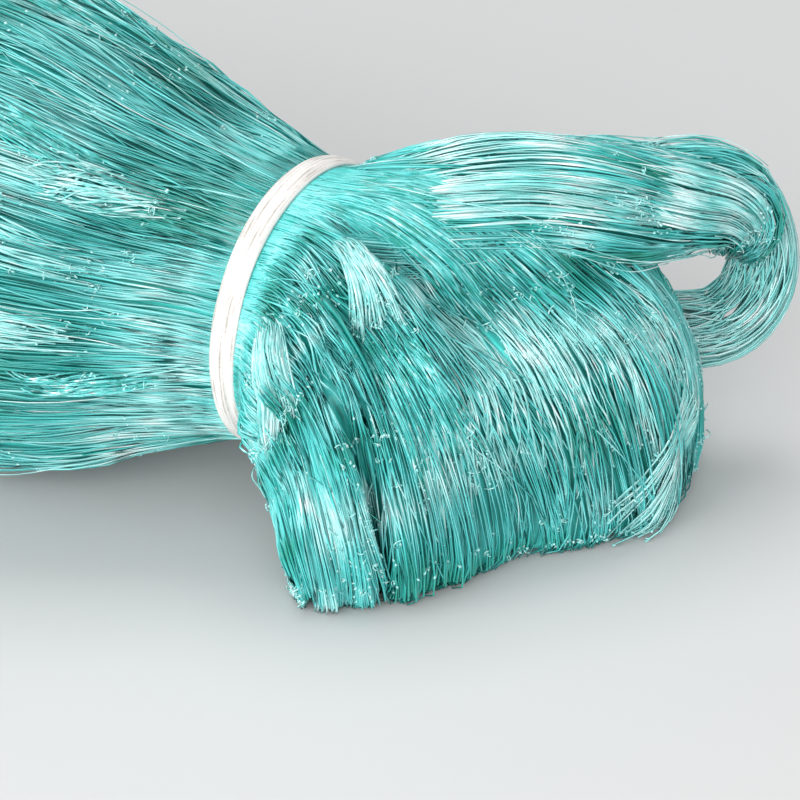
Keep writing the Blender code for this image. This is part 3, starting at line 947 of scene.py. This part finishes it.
# %% The loop
LOOP = (
    Bend(0.066, 0.062, 0.082, 0.009, 0.0050, 0.0),
    Bend(0.080, 0.076, 0.077, 0.010, 0.0045, 0.0),
    Bend(0.087, 0.083, 0.062, 0.009, 0.0045, 0.0),
    Bend(0.086, 0.083, 0.046, 0.010, 0.0045, 0.0),
    Bend(0.079, 0.077, 0.036, 0.010, 0.0045, 0.0),
    Bend(0.064, 0.066, 0.035, 0.011, 0.0045, 0.0),
)
LOOP_FILAMENTS = 230
LOOP_POINTS = 24
rng = np.random.default_rng(106)
loop_rows = through(LOOP, 8)
place = np.linspace(0, len(loop_rows) - 1, LOOP_POINTS)
loop_line = np.stack([np.interp(place, np.arange(len(loop_rows)), column)
                      for column in loop_rows.T], -1)
spine = loop_line[:, :3] + (TIE_X, TIE_Y, 0)
loop_tangent = unit(np.gradient(spine, axis=0))
loop_out = unit(np.cross(loop_tangent, (0.43, -0.72, 0.55)))
loop_side = np.cross(loop_tangent, loop_out)
angle = (rng.uniform(0, 2 * math.pi, (LOOP_FILAMENTS, 1))
         + 0.5 * wander(rng, LOOP_FILAMENTS, LOOP_POINTS, 3))
reach = (rng.uniform(0.3, 1, (LOOP_FILAMENTS, 1)) ** 0.5
         + 0.08 * wander(rng, LOOP_FILAMENTS, LOOP_POINTS, 4))
loop_paths = (spine + (reach * np.cos(angle) * loop_line[:, 3])[..., None] * loop_out
              + (reach * np.sin(angle) * loop_line[:, 4])[..., None] * loop_side)
bundle("net_loop_filaments", loop_paths, np.broadcast_to(loop_out, loop_paths.shape),
       FILAMENT_RADIUS * 1.2, loose_nylon_painted_light)


# %% [markdown]
# ## The tape
# One flat tape is wound twice round the neck, so a second ply shows as a line along it near the tail's
# side. It is 7 mm wide with soft, rounded edges, and it stays inside the ring the neck leaves for it.

# %% The tape's ring
TAPE_INNER = TIE_OUTER - TIE_THICKNESS
across = np.linspace(-1, 1, 21)
edge = np.sqrt(np.clip(1 - np.abs(across) ** 6, 0, 1))
ring = np.linspace(0, 1, 192, endpoint=False)
PLY_PLACE = 0.45
ply_edge = PLY_PLACE + 0.18 * ripple(ring, 0 * ring, 7, 1, 41) - across[:, None]
ply = 0.00035 * smooth_step(ply_edge / 0.05) - 0.00030 * np.exp(-(ply_edge / 0.06) ** 2)
crease = (0.00030 * ripple(ring, (across[:, None] + 1) / 2, 11, 3, 42)
          + 0.00012 * ripple(ring, (across[:, None] + 1) / 2, 41, 5, 44))
outer = TAPE_INNER + (TIE_THICKNESS - 0.00060 + ply + crease) * edge[:, None]
inner = np.full(outer.shape, TAPE_INNER)
radius = np.vstack([outer, inner[::-1]])
sway = 0.0003 * ripple(ring, 0 * ring, 8, 1, 43)
half_width = TIE_WIDTH / 2 * (1 + 0.09 * ripple(ring, 0 * ring, 13, 1, 45))
offset = np.concatenate([across, across[::-1]])[:, None] * half_width + sway
angle = 2 * math.pi * ring
tape_grid = np.stack(np.broadcast_arrays(TIE_X + offset, TIE_Y + radius * np.cos(angle),
                                         NECK_Z + radius * np.sin(angle)), -1)


def closed_band(name, grid, finish):
    """A ring whose section is closed: grid[j, i] goes round the ring with i and round its section
    with j, and both join up."""
    rows, columns = grid.shape[:2]
    number = np.arange(rows * columns).reshape(rows, columns)
    quads = np.stack([number, np.roll(number, -1, 0), np.roll(np.roll(number, -1, 0), -1, 1),
                      np.roll(number, -1, 1)], -1).reshape(-1, 4)
    u, v = np.meshgrid((np.arange(columns) + 0.5) / columns, (np.arange(rows) + 0.5) / rows)
    uvs = np.stack([u, v], -1).reshape(-1, 2)
    return put_mesh(name, grid.reshape(-1, 3), quads, np.zeros((0, 3), int), uvs, finish)


tape = closed_band("tie_tape_ring", tape_grid, tape_cotton)
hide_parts("tie")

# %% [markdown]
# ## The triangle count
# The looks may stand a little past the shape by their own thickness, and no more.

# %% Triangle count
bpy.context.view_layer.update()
total = sum(len(p.vertices) - 2 for o in bpy.data.objects
            if o.type == "MESH" and "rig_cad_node" not in o for p in o.data.polygons)
print("triangles in all", total)
